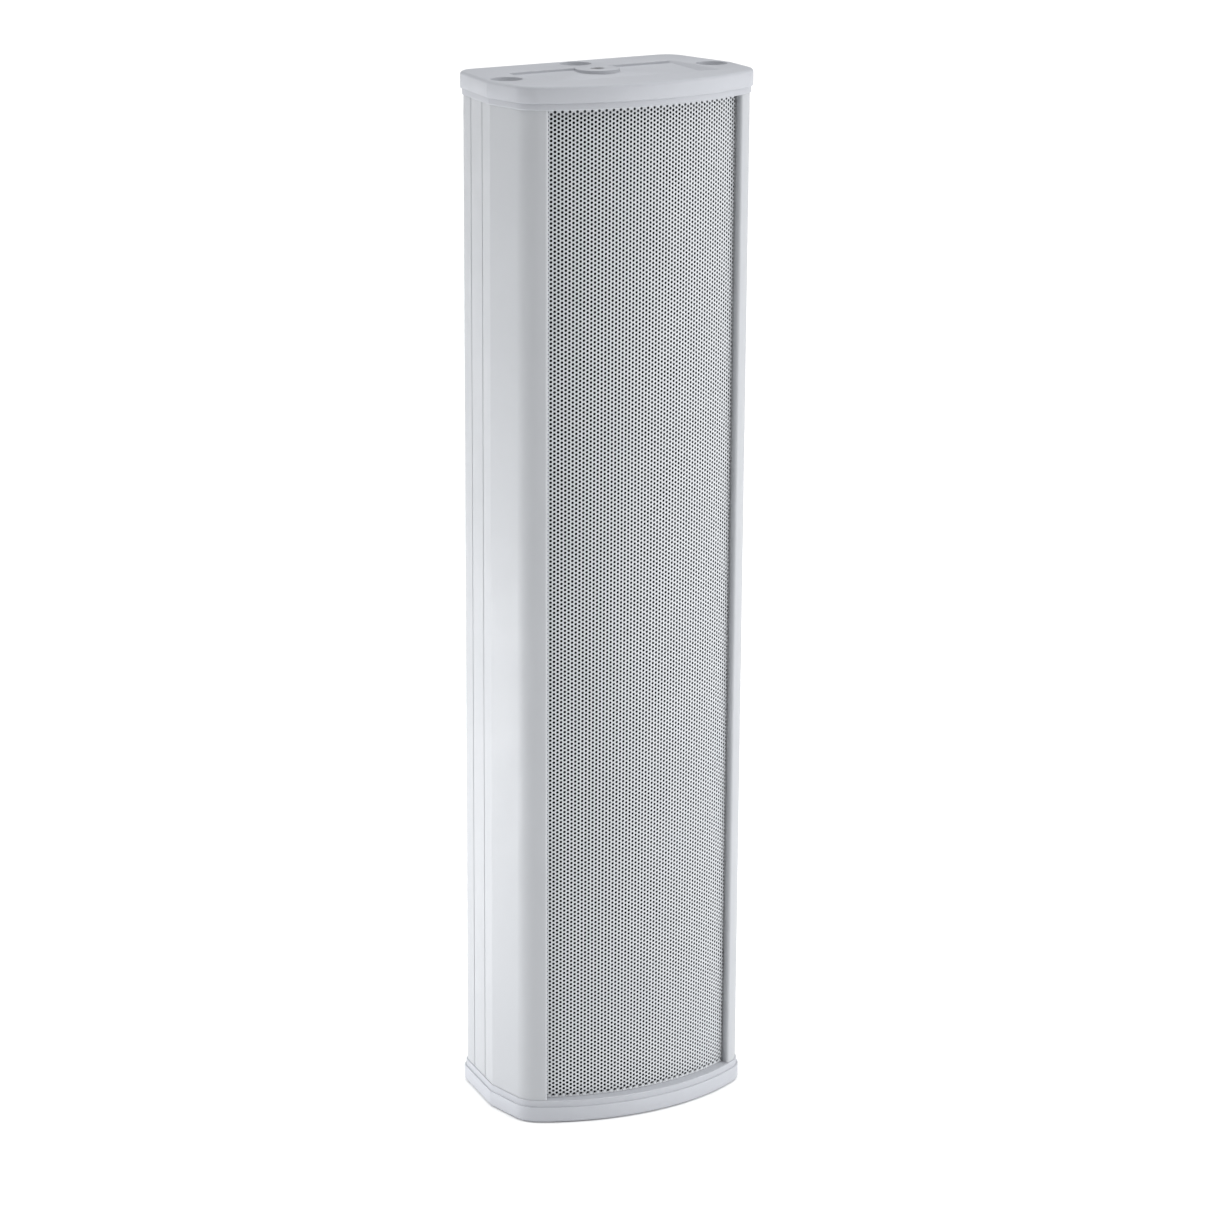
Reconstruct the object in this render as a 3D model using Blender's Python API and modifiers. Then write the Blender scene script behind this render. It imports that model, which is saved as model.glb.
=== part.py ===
"""A wall or shelf column loudspeaker for public address: an aluminium extrusion with a curved
perforated grille, two identical end caps, and four drive units with a line transformer inside.

The frame: +Z up, front towards -Y, origin at the middle of the footprint. Lengths are in metres.
"""

import math

import bmesh
import bpy
from mathutils import Matrix

MM = 0.001

# Driving dimensions
HEIGHT = 505 * MM
DEPTH = 86.5 * MM  # rear face to the front of the arc that the extrusion and caps share
REAR_HALF = 57.9 * MM  # half width where the sides would meet the rear face
WIDE_HALF = 64.9 * MM  # half width at the crease
CREASE_BACK = 42.3 * MM  # crease, measured from the rear face
FRONT_HALF = 61.4 * MM  # half width where the slanted cheeks would meet the front arc
FRONT_BACK = 68.8 * MM
REAR_RADIUS = 8.7 * MM
FRONT_RADIUS = 13.8 * MM
WALL = 1.8 * MM
GAP = 0.3 * MM

# End caps
RIM_OUT = 1.5 * MM
COLLAR_OUT = 0.6 * MM
RIM_HEIGHT = 7.8 * MM
COLLAR_HEIGHT = 11 * MM
RIM_ROUND = 1.6 * MM
CAP_PLATE = 4.2 * MM
PLUG_DEPTH = 7 * MM
PLUG_FRONT = -13.6 * MM
PLUG_WALL = 1.8 * MM
SHELF_RECESS = 3.75 * MM  # of a cap's inner opening, so that it covers the ends of the grille
POCKET = (44 * MM, -20 * MM, 20 * MM)  # half width, front edge, rear edge
POCKET_DEPTH = 2.1 * MM
PIVOT_Y = 14 * MM
PIVOT_RADIUS = 10.5 * MM
PIVOT_MOUTH = 3.4 * MM  # radius of the hole in the boss, above its insert
INSERT_BORE = 4.8 * MM
INSERT_TOP = 2.7 * MM  # depth of the insert's outer end
WELL_RADIUS = 7.4 * MM
WELL_DEPTH = 3 * MM
SIDE_WELL = (55.5 * MM, 1.7 * MM)
REAR_WELL = (0.0, 34.3 * MM)

# Inside the extrusion. Ribs are (x, y) of two corners of the right-hand one
CHANNEL_RADIUS = 3.6 * MM
CHANNEL_BORE = 1.75 * MM
GRILLE_RIB = (50.8 * MM, -25.2 * MM, 58.9 * MM, -24 * MM)
BAFFLE_RIB = (56.6 * MM, -15.7 * MM, 61.8 * MM, -14.3 * MM)
CABLE_OUTLET = (22 * MM, 48 * MM)  # x and height

# Grille and front opening
NOSE_HALF = 53.3 * MM  # where the rounded edge beside the grille begins
NOSE_TIP = (51.1 * MM, -28.2 * MM)
LEDGE = ((51.1 * MM, -27.1 * MM), (52.7 * MM, -26.3 * MM))  # it holds the grille's edge
GRILLE_HALF = 51.9 * MM
GRILLE_RADIUS = 121 * MM
GRILLE_BACK = 5.2 * MM  # how far its apex lies behind the front of the arc
GRILLE_SHEET = 0.8 * MM
CLOTH_SHEET = 0.6 * MM
CLOTH_HALF = 50.1 * MM

# Drive units
DRIVERS = 4
DRIVER_PITCH = 113 * MM
BAFFLE_FRONT = 64.5 * MM  # from the rear face
BAFFLE_SHEET = 5 * MM
BAFFLE_HALF = 57 * MM
BAFFLE_END = 20.5 * MM
BAFFLE_HOLE = 46.4 * MM
ROUND_STEPS = 16

REAR_Y = DEPTH / 2
FRONT_RISE = DEPTH - FRONT_BACK
ARC_RADIUS = (FRONT_HALF**2 + FRONT_RISE**2) / (2 * FRONT_RISE)
EXTRUSION_LENGTH = HEIGHT - 2 * COLLAR_HEIGHT - 2 * GAP
COLLECTION = "column_loudspeaker"


def clear_scene():
    for obj in list(bpy.data.objects):
        bpy.data.objects.remove(obj)


def collection(name):
    made = bpy.data.collections.new(name)
    bpy.context.scene.collection.children.link(made)
    return made


def material(name, colour, roughness, metallic=0.0):
    made = bpy.data.materials.new(name)
    made.use_nodes = True
    shader = made.node_tree.nodes["Principled BSDF"]
    shader.inputs["Base Color"].default_value = (*colour, 1)
    shader.inputs["Roughness"].default_value = roughness
    shader.inputs["Metallic"].default_value = metallic
    return made


def arc(centre, radius, start, end, steps):
    """Points on a circle from start to end, in degrees."""
    angles = [math.radians(start + (end - start) * i / steps) for i in range(steps + 1)]
    return [(centre[0] + radius * math.cos(a), centre[1] + radius * math.sin(a)) for a in angles]


def mirrored(half):
    """A closed outline from its right half, which runs from the rear middle to the front middle."""
    left = [(-x, y) for x, y in reversed(half) if x > 1e-6]
    return half + left


class Section:
    """The plan of the column: a flat back, sides that widen to a crease, cheeks that narrow
    again, and a shallow front arc, with rounded corners. Outlines are this one, moved in or out.
    The opening inside the caps has a front arc of its own."""

    def __init__(self, front_radius, recess=0.0):
        self.side_slope = math.atan2(WIDE_HALF - REAR_HALF, CREASE_BACK)
        self.cheek_slope = math.atan2(WIDE_HALF - FRONT_HALF, FRONT_BACK - CREASE_BACK)
        self.crease = (WIDE_HALF, REAR_Y - CREASE_BACK)
        self.front_radius = front_radius
        self.front_centre = (0.0, front_radius + recess - DEPTH / 2)
        self.rear_corner = self.fillet_rear()
        self.front_corner = self.fillet_front()

    def fillet_rear(self):
        """The centre of the rear corner's arc, which touches the back and the side."""
        slope = self.side_slope
        y = REAR_Y - REAR_RADIUS
        side_x = REAR_HALF + (REAR_Y - y) * math.tan(slope)
        return (side_x - REAR_RADIUS / math.cos(slope), y)

    def fillet_front(self):
        """The centre of the front corner's arc, which touches the cheek and the front arc."""
        slope = self.cheek_slope
        start = (
            self.crease[0] - FRONT_RADIUS * math.cos(slope),
            self.crease[1] + FRONT_RADIUS * math.sin(slope),
        )
        along = (-math.sin(slope), -math.cos(slope))
        to_start = (start[0] - self.front_centre[0], start[1] - self.front_centre[1])
        half_b = to_start[0] * along[0] + to_start[1] * along[1]
        inner = self.front_radius - FRONT_RADIUS
        spare = to_start[0] ** 2 + to_start[1] ** 2 - inner**2
        run = -half_b + math.sqrt(half_b**2 - spare)
        return (start[0] + run * along[0], start[1] + run * along[1])

    def crease_point(self, out):
        bend = (self.side_slope + self.cheek_slope) / 2
        turn = (self.cheek_slope - self.side_slope) / 2
        reach = out / math.cos(bend)
        return (self.crease[0] + reach * math.cos(turn), self.crease[1] - reach * math.sin(turn))

    def corner_end(self):
        """The direction, in degrees, in which the front corner's arc meets the front arc."""
        x = self.front_corner[0] - self.front_centre[0]
        y = self.front_corner[1] - self.front_centre[1]
        return math.degrees(math.atan2(y, x))

    def half(self, out, stop_x=0.0, extra=()):
        """The right half at a distance outside this plan, from the rear middle to x = stop_x on
        the front arc. extra points lie between the rear corner and the crease."""
        side = -math.degrees(self.side_slope)
        cheek = -math.degrees(self.cheek_slope)
        radius = self.front_radius + out
        stop = -90 + math.degrees(math.asin(stop_x / radius))
        points = [(0.0, REAR_Y + out)]
        points += arc(self.rear_corner, REAR_RADIUS + out, 90, side + 2 * abs(side), 5)
        points += list(extra)
        points += [self.crease_point(out)]
        points += arc(self.front_corner, FRONT_RADIUS + out, cheek, self.corner_end(), 5)
        steps = 10 if stop_x == 0 else 2
        points += arc(self.front_centre, radius, self.corner_end(), stop, steps)[1:]
        return points


def new_object(name, data, group, finish=None):
    made = bpy.data.objects.new(name, data)
    group.objects.link(made)
    if finish:
        data.materials.append(finish)
    return made


def prism(name, loops, thickness, group, finish=None):
    """A flat plate of that thickness, centred on its own XY plane. Inner loops are holes."""
    curve = bpy.data.curves.new(name, "CURVE")
    curve.dimensions = "2D"
    curve.fill_mode = "BOTH"
    curve.extrude = thickness / 2
    for loop in loops:
        spline = curve.splines.new("POLY")
        spline.points.add(len(loop) - 1)
        for point, (x, y) in zip(spline.points, loop):
            point.co = (x, y, 0, 1)
        spline.use_cyclic_u = True
    source = new_object(name + "_outline", curve, group)
    bpy.context.view_layer.update()
    graph = bpy.context.evaluated_depsgraph_get()
    mesh = bpy.data.meshes.new_from_object(source.evaluated_get(graph))
    bpy.data.objects.remove(source)
    weld(mesh)
    return new_object(name, mesh, group, finish)


def weld(mesh):
    shape = bmesh.new()
    shape.from_mesh(mesh)
    bmesh.ops.remove_doubles(shape, verts=shape.verts, dist=1e-6)
    bmesh.ops.recalc_face_normals(shape, faces=shape.faces)
    shape.to_mesh(mesh)
    shape.free()


def rectangle(x0, y0, x1, y1):
    return [(x0, y0), (x1, y0), (x1, y1), (x0, y1)]


def box(name, low, high, group, finish=None):
    mesh = bpy.data.meshes.new(name)
    shape = bmesh.new()
    bmesh.ops.create_cube(shape, size=1.0)
    for vertex in shape.verts:
        vertex.co = [(a + b) / 2 + c * (b - a) for a, b, c in zip(low, high, vertex.co)]
    shape.to_mesh(mesh)
    shape.free()
    return new_object(name, mesh, group, finish)


def cylinder(name, radius, low, high, centre, group, finish=None, steps=ROUND_STEPS):
    mesh = bpy.data.meshes.new(name)
    shape = bmesh.new()
    bmesh.ops.create_cone(
        shape, cap_ends=True, segments=steps, radius1=radius, radius2=radius, depth=high - low
    )
    shape.to_mesh(mesh)
    shape.free()
    made = new_object(name, mesh, group, finish)
    made.location = (centre[0], centre[1], (low + high) / 2)
    return made


def turned(name, profile, group, closed=True, steps=ROUND_STEPS):
    """The mesh of a profile of (radius, height) points turned about Z."""
    mesh = bpy.data.meshes.new(name)
    edges = [(i, i + 1) for i in range(len(profile) - 1)]
    if closed:
        edges.append((len(profile) - 1, 0))
    mesh.from_pydata([(r, 0, z) for r, z in profile], edges, [])
    source = new_object(name, mesh, group)
    screw = source.modifiers.new("turn", "SCREW")
    screw.steps = screw.render_steps = steps
    screw.use_merge_vertices = True
    screw.merge_threshold = 1e-5
    return baked(source)


def baked(source):
    """The mesh that an object's modifiers make. The object is removed."""
    bpy.context.view_layer.update()
    graph = bpy.context.evaluated_depsgraph_get()
    mesh = bpy.data.meshes.new_from_object(source.evaluated_get(graph))
    mesh.name = source.name
    bpy.data.objects.remove(source)
    weld(mesh)
    return mesh


def combine(target, other, operation):
    """Adds a Boolean to target. The other object stays as a hidden helper."""
    change = target.modifiers.new(other.name, "BOOLEAN")
    change.operation = operation
    change.object = other
    change.solver = "EXACT"
    other.hide_render = True
    other.display_type = "WIRE"


def cut(target, *others):
    for other in others:
        combine(target, other, "DIFFERENCE")


def join(target, *others):
    for other in others:
        combine(target, other, "UNION")


def smooth(mesh, angle=35):
    mesh.shade_smooth()
    mesh.set_sharp_from_angle(angle=math.radians(angle))


# The housing ---------------------------------------------------------------------------------


def side_groove(section, back, width=1.3 * MM, depth=0.7 * MM):
    """Three points of a V groove in the side wall, at a distance in front of the rear face."""
    slope = section.side_slope
    along = (math.sin(slope), -math.cos(slope))
    inward = (-math.cos(slope), -math.sin(slope))
    x = REAR_HALF + back * math.tan(slope)
    y = REAR_Y - back
    points = []
    for run, sink in ((-width / 2, 0), (0, depth), (width / 2, 0)):
        px = x + run * along[0] + sink * inward[0]
        py = y + run * along[1] + sink * inward[1]
        points.append((px, py))
    return points


def channel_loop(centre, mouth):
    """A screw channel: a round tube with a slot towards the direction mouth, in degrees."""
    outer = arc(centre, CHANNEL_RADIUS, mouth + 35, mouth + 325, 10)
    inner = arc(centre, CHANNEL_BORE, mouth + 325, mouth + 35, 10)
    return outer + inner


def ribs(length, helpers):
    """Everything that stands off the walls inside the extrusion."""
    made = []
    for side, mouth in ((1, 180), (-1, 0)):
        x, y = SIDE_WELL
        loops = {"channel": channel_loop((side * x, y), mouth)}
        web = (x + CHANNEL_RADIUS / 2 + 0.9 * MM, y - 1.5 * MM, WIDE_HALF - 1.1 * MM, y + 2 * MM)
        for name, (x0, y0, x1, y1) in (("web", web), ("grille", GRILLE_RIB), ("baffle", BAFFLE_RIB)):
            loops[name] = rectangle(side * x0, y0, side * x1, y1)
        for name, loop in loops.items():
            made.append(prism(f"{name}_rib_{mouth}", [loop], length, helpers))
    made.append(prism("channel_rear", [channel_loop(REAR_WELL, 270)], length, helpers))
    rear_web = rectangle(-1.5 * MM, REAR_WELL[1] + 3 * MM, 1.5 * MM, REAR_Y - WALL / 2)
    made.append(prism("channel_web_rear", [rear_web], length, helpers))
    return made


def nose(section, start, steps=4):
    """The rounded edge beside the grille: a quarter of an ellipse that leaves the front arc
    smoothly and ends facing the grille."""
    slope = math.asin(start[0] / section.front_radius)
    forward = (NOSE_TIP[0] - start[0], (NOSE_TIP[0] - start[0]) * math.tan(slope))
    back = NOSE_TIP[1] - start[1] - forward[1]
    points = []
    for i in range(1, steps + 1):
        turn = math.radians(90 * i / steps)
        x = start[0] + forward[0] * math.sin(turn)
        y = start[1] + forward[1] * math.sin(turn) + back * (1 - math.cos(turn))
        points.append((x, y))
    return points


def housing(section, parts, helpers, finish):
    grooves = side_groove(section, 16.1 * MM) + side_groove(section, 31.4 * MM)
    outer = section.half(0.0, NOSE_HALF, grooves)
    inner = section.half(-WALL, NOSE_HALF)
    right = outer + nose(section, outer[-1]) + list(LEDGE) + inner[::-1]
    left = [(-x, y) for x, y in reversed(right)]
    body = prism("housing", [right[:-1] + left[1:-1]], EXTRUSION_LENGTH, parts, finish)
    body.location = (0, 0, HEIGHT / 2)
    for rib in ribs(EXTRUSION_LENGTH - 2 * GAP, helpers):
        rib.location = (0, 0, HEIGHT / 2)
        join(body, rib)
    hole = cylinder("grommet_hole", 6.4 * MM, -4 * MM, 4 * MM, (0, 0), helpers)
    hole.rotation_euler = (math.pi / 2, 0, 0)
    hole.location = (CABLE_OUTLET[0], REAR_Y, CABLE_OUTLET[1])
    cut(body, hole)


# The end caps --------------------------------------------------------------------------------


def pocket_loop():
    """The shallow pocket in a cap's outer face, with the pivot boss standing in its rear edge."""
    half, front, rear = POCKET
    meet = math.degrees(math.acos((rear - PIVOT_Y) / PIVOT_RADIUS))
    boss = arc((0, PIVOT_Y), PIVOT_RADIUS, 90 + meet, 450 - meet, 18)
    return [(half, rear), (half, front), (-half, front), (-half, rear)] + boss


def round_top_edge(obj, height):
    """Rounds the outer edge at the top of a plate with a Bevel that reads edge weights."""
    weights = obj.data.attributes.new("bevel_weight_edge", "FLOAT", "EDGE")
    for edge in obj.data.edges:
        if all(obj.data.vertices[v].co.z > height - 1e-6 for v in edge.vertices):
            weights.data[edge.index].value = 1.0
    bevel = obj.modifiers.new("rounded_edge", "BEVEL")
    bevel.width = RIM_ROUND
    bevel.segments = 2
    bevel.limit_method = "WEIGHT"


def cap_mesh(section, opening, helpers):
    """One end cap, outer face at z = 0 and body below. Both caps are this one moulding. section
    is its outer plan, and opening that of its plug and hollow."""
    rim = prism("cap", [mirrored(section.half(RIM_OUT))], RIM_HEIGHT, helpers)
    round_top_edge(rim, RIM_HEIGHT / 2)
    rim.data.transform(Matrix.Translation((0, 0, -RIM_HEIGHT / 2)))
    overlap = 1 * MM
    collar_size = COLLAR_HEIGHT - RIM_HEIGHT + overlap
    collar = prism("collar", [mirrored(section.half(COLLAR_OUT))], collar_size, helpers)
    collar.location = (0, 0, -COLLAR_HEIGHT + collar_size / 2)
    plug_size = PLUG_DEPTH + overlap
    plug = prism("plug", [mirrored(opening.half(-WALL - GAP))], plug_size, helpers)
    plug.location = (0, 0, -COLLAR_HEIGHT - PLUG_DEPTH + plug_size / 2)
    front_cut = box(
        "plug_front", (-0.08, -0.08, -0.03), (0.08, PLUG_FRONT, -COLLAR_HEIGHT), helpers
    )
    hollow_size = COLLAR_HEIGHT + PLUG_DEPTH - CAP_PLATE + overlap
    hollow_loop = mirrored(opening.half(-WALL - GAP - PLUG_WALL))
    hollow = prism("hollow", [hollow_loop], hollow_size, helpers)
    hollow.location = (0, 0, -CAP_PLATE - hollow_size / 2)
    seat = cylinder("pivot_seat", 8 * MM, -11 * MM, -CAP_PLATE + overlap, (0, PIVOT_Y), helpers)
    join(rim, collar, plug)
    cut(rim, front_cut, hollow)
    join(rim, seat)
    pocket = prism("pocket", [pocket_loop()], 2 * POCKET_DEPTH, helpers)
    cut(rim, pocket)
    wells = (SIDE_WELL, (-SIDE_WELL[0], SIDE_WELL[1]), REAR_WELL)
    for i, at in enumerate(wells):
        well = cylinder(f"well_{i}", WELL_RADIUS, -WELL_DEPTH, overlap, at, helpers)
        hole = cylinder(f"screw_hole_{i}", 2.1 * MM, -0.03, overlap, at, helpers)
        relief = cylinder(f"relief_{i}", 4.6 * MM, -0.03, -COLLAR_HEIGHT - 0.1 * MM, at, helpers)
        cut(rim, well, hole, relief)
    for i, (x, y) in enumerate(wells):
        reach, half = (9 * MM, 2.2 * MM) if x else (1.9 * MM, 4.6 * MM)
        middle = y + 0.25 * MM if x else y + 5 * MM
        low = (x - reach, middle - half, -0.03)
        high = (x + reach, middle + half, -COLLAR_HEIGHT - 0.1 * MM)
        cut(rim, box(f"web_slot_{i}", low, high, helpers))
    shoulder = 0.2 * MM - INSERT_TOP
    mouth = cylinder("pivot_mouth", PIVOT_MOUTH, -INSERT_TOP, overlap, (0, PIVOT_Y), helpers, steps=24)
    bore = cylinder("insert_bore", INSERT_BORE, -0.03, shoulder, (0, PIVOT_Y), helpers, steps=24)
    cut(rim, mouth, bore)
    return baked(rim)


def place(name, mesh, group, finish, location, rotation=(0, 0, 0)):
    made = new_object(name, mesh, group)
    if finish and not mesh.materials:
        mesh.materials.append(finish)
    made.location = location
    made.rotation_euler = rotation
    return made


def screw_profile(reach=15 * MM):
    """A pan-head screw: the seat under its head is at z = 0."""
    head, top, shank = 3.6 * MM, 1.3 * MM, 1.45 * MM
    dome = [(0.0, top), (head * 0.6, top * 0.9), (head * 0.95, top * 0.45)]
    return dome + [(head, 0.0), (shank, 0.0), (shank, -reach), (0.0, -reach - 1.5 * MM)]


def end_caps(section, opening, parts, helpers, finishes):
    mesh = cap_mesh(section, opening, helpers)
    smooth(mesh)
    seal_mesh = baked(prism("seal", [seal_loop()], BAFFLE_SHEET, helpers))
    screw = turned("cap_screw", screw_profile(), helpers, closed=False, steps=12)
    insert = turned("pivot_insert", insert_profile(), helpers, steps=24)
    wells = {"left": (-SIDE_WELL[0], SIDE_WELL[1]), "right": SIDE_WELL, "rear": REAR_WELL}
    for end, height, turn, up in (("top", HEIGHT, 0.0, 1), ("bottom", 0.0, math.pi, -1)):
        flip = (0, turn, 0)
        place(f"{end}_cap", mesh, parts, finishes["cap"], (0, 0, height), flip)
        seal = place(f"{end}_seal", seal_mesh, parts, finishes["foam"], (0, 0, 0))
        upright(seal, REAR_Y - BAFFLE_FRONT + BAFFLE_SHEET / 2, height)
        seal.rotation_euler = (up * math.pi / 2, 0, 0)
        place(f"{end}_pivot_insert", insert, parts, finishes["brass"], (0, PIVOT_Y, height), flip)
        seat_z = height - up * (WELL_DEPTH - 0.15 * MM)
        for side, (x, y) in wells.items():
            place(f"{end}_screw_{side}", screw, parts, finishes["zinc"], (x, y, seat_z), flip)


def seal_loop():
    """A foam strip that fills the height between a cap's plate and the end of the baffle, seen
    from the front with the cap's outer face at zero. Its lower edge has two notches."""
    top, end, half = -CAP_PLATE - GAP, GAP - BAFFLE_END, 54 * MM
    notch = [(34 * MM, end), (30 * MM, end + 3 * MM), (26 * MM, end)]
    right = [(half, top), (half, end)] + notch
    return right + [(-x, y) for x, y in reversed(right)]


def insert_profile():
    outer, bore, top, end = INSERT_BORE - 0.4 * MM, 2.95 * MM, -INSERT_TOP, -10.5 * MM
    return [(outer, top), (outer, end), (bore, end), (bore, top)]


# Grille, cloth and baffle --------------------------------------------------------------------


def sheet_loop(back, thickness, half):
    """The plan of a curved sheet whose front apex lies back behind the front of the body."""
    centre = (0.0, GRILLE_RADIUS + back - DEPTH / 2)
    spread = math.degrees(math.asin(half / GRILLE_RADIUS))
    front = arc(centre, GRILLE_RADIUS, -90 - spread, -90 + spread, 22)
    rear = arc(centre, GRILLE_RADIUS - thickness, -90 + spread, -90 - spread, 22)
    return front + rear


def grille_and_cloth(parts, finishes):
    loop = sheet_loop(GRILLE_BACK, GRILLE_SHEET, GRILLE_HALF)
    grille = prism("grille", [loop], EXTRUSION_LENGTH, parts, finishes["grille"])
    grille.location = (0, 0, HEIGHT / 2)
    cloth_back = GRILLE_BACK + GRILLE_SHEET + GAP
    loop = sheet_loop(cloth_back, CLOTH_SHEET, CLOTH_HALF)
    cloth = prism("grille_cloth", [loop], EXTRUSION_LENGTH - 4 * MM, parts, finishes["cloth"])
    cloth.location = (0, 0, HEIGHT / 2)


def driver_heights():
    middle = HEIGHT / 2
    return [middle + (i - (DRIVERS - 1) / 2) * DRIVER_PITCH for i in range(DRIVERS)]


def upright(obj, y, z=0.0):
    """Turns a plate that was drawn in XY so that it stands in XZ, facing -Y."""
    obj.rotation_euler = (math.pi / 2, 0, 0)
    obj.location = (0, y, z)


def baffle(parts, finish):
    low = BAFFLE_END - HEIGHT / 2
    loops = [rectangle(-BAFFLE_HALF, low, BAFFLE_HALF, -low)]
    for z in driver_heights():
        loops.append(arc((0, z - HEIGHT / 2), BAFFLE_HOLE, 0, 345, 23))
    board = prism("baffle", loops, BAFFLE_SHEET, parts, finish)
    upright(board, REAR_Y - BAFFLE_FRONT + BAFFLE_SHEET / 2, HEIGHT / 2)


# Drive units. Profiles are (radius, distance in front of the baffle's front face) -------------


def mm_points(*points):
    return [(r * MM, z * MM) for r, z in points]


DRIVER_PROFILES = {
    "basket": mm_points(
        (50.5, 1.5), (50.5, 0.3), (45.8, 0.3), (45.2, -5), (30.5, -21.8), (30.5, -23.2),
        (14, -23.2), (14, -22), (29, -22), (29, -17.2), (32.3, -17.2), (44, -4.2), (44, 1.5)
    ),
    "top_plate": mm_points((32, -23.5), (32, -28.5), (13.5, -28.5), (13.5, -23.5)),
    "magnet": mm_points((35, -28.8), (35, -37.8), (17, -37.8), (17, -28.8)),
    "voice_coil": mm_points((13.05, -13.2), (13.05, -31), (12.7, -31), (12.7, -13.2)),
    "spider": mm_points(
        (31.9, -16.2), (31.9, -16.9), (28, -16.9), (24, -18.3), (20, -16.6), (16, -18.3),
        (13.4, -17), (13.4, -16.3), (16, -17.6), (20, -15.9), (24, -17.6), (28, -16.2)
    ),
    "surround": mm_points(
        (47.2, 2.6), (47.2, 1.8), (46.2, 1.8), (43.9, 3.8), (41.5, 1.8), (40.4, 1.8),
        (40.4, 2.6), (41, 2.6), (42.2, 4.1), (43.9, 4.8), (45.6, 4.1), (46.4, 2.6)
    ),
    "cone": mm_points(
        (41.3, 1.5), (41.3, 0.8), (39.8, 0.6), (14.2, -13.9), (13.4, -13.9), (13.4, -13), (39.4, 1.5)
    ),
}

YOKE_PROFILE = mm_points((0, -23.6), (12.2, -23.6), (12.2, -38.1), (32, -38.1), (32, -42.4), (0, -42.4))
DUST_CAP_PROFILE = mm_points(
    (0, -4.8), (7, -6), (12, -8.4), (15.4, -11), (14.8, -11.4), (11.6, -9), (6.8, -6.7), (0, -5.5)
)


def driver_meshes(helpers):
    meshes = {}
    for name, profile in DRIVER_PROFILES.items():
        meshes[name] = turned(name, profile, helpers)
    meshes["yoke"] = turned("yoke", YOKE_PROFILE, helpers, closed=False)
    meshes["dust_cap"] = turned("dust_cap", DUST_CAP_PROFILE, helpers, closed=False)
    meshes["basket"] = windowed(meshes["basket"], helpers)
    for mesh in meshes.values():
        smooth(mesh)
    return meshes


def windowed(mesh, helpers):
    """Cuts four windows through the sloping wall of a basket."""
    basket = new_object("basket", mesh, helpers)
    for i in range(2):
        wide = box("window", (-0.06, -9 * MM, -15.5 * MM), (0.06, 9 * MM, -6.5 * MM), helpers)
        wide.rotation_euler = (0, 0, math.radians(45 + 90 * i))
        cut(basket, wide)
    return baked(basket)


def drive_units(parts, helpers, finishes):
    meshes = driver_meshes(helpers)
    face = REAR_Y - BAFFLE_FRONT
    looks = {
        "basket": "steel", "top_plate": "steel", "magnet": "ferrite", "yoke": "steel",
        "voice_coil": "copper", "spider": "spider", "surround": "rubber", "cone": "cone",
        "dust_cap": "cone",
    }
    for number, z in enumerate(driver_heights(), start=1):
        moving = bpy.data.objects.new(f"driver_{number}_axis", None)
        parts.objects.link(moving)
        moving.location = (0, face, z)
        moving.rotation_euler = (math.pi / 2, 0, 0)
        for name, mesh in meshes.items():
            piece = place(f"driver_{number}_{name}", mesh, parts, finishes[looks[name]], (0, 0, 0))
            piece.parent = moving


# Electrical parts ----------------------------------------------------------------------------


def transformer(parts, finishes):
    """A line transformer of laminations, held to the rear wall by a strap over its coil."""
    middle_y = REAR_Y - 25.6 * MM
    core_half, core_high, leg = 21 * MM, 18 * MM, 6 * MM
    window = 8 * MM
    outline = rectangle(-core_half, -core_high, core_half, core_high)
    windows = [
        rectangle(side * leg, -core_high + leg, side * (leg + window), core_high - leg)
        for side in (-1, 1)
    ]
    core = prism("transformer_core", [outline] + windows, 16 * MM, parts, finishes["steel"])
    upright(core, middle_y, HEIGHT / 2)
    coil_x, coil_y = leg + window - GAP, 12 * MM
    coil_loops = [
        rectangle(-coil_x, -coil_y, coil_x, coil_y),
        rectangle(-leg - GAP, -8.3 * MM, leg + GAP, 8.3 * MM),
    ]
    length = 2 * (core_high - leg) - 2 * GAP
    coil = prism("transformer_coil", coil_loops, length, parts, finishes["tape"])
    coil.location = (0, middle_y, HEIGHT / 2)
    inner, outer, foot = core_half + GAP, core_half + 1.3 * MM, 33 * MM
    base, front = REAR_Y - WALL - GAP, middle_y - coil_y - 1.3 * MM
    strap = [
        (-foot, base), (-foot, base - 1 * MM), (-outer, base - 1 * MM), (-outer, front),
        (outer, front), (outer, base - 1 * MM), (foot, base - 1 * MM), (foot, base),
        (inner, base), (inner, front + 1 * MM), (-inner, front + 1 * MM), (-inner, base),
    ]
    bracket = prism("transformer_bracket", [strap], 22 * MM, parts, finishes["zinc"])
    bracket.location = (0, 0, HEIGHT / 2)


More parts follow.
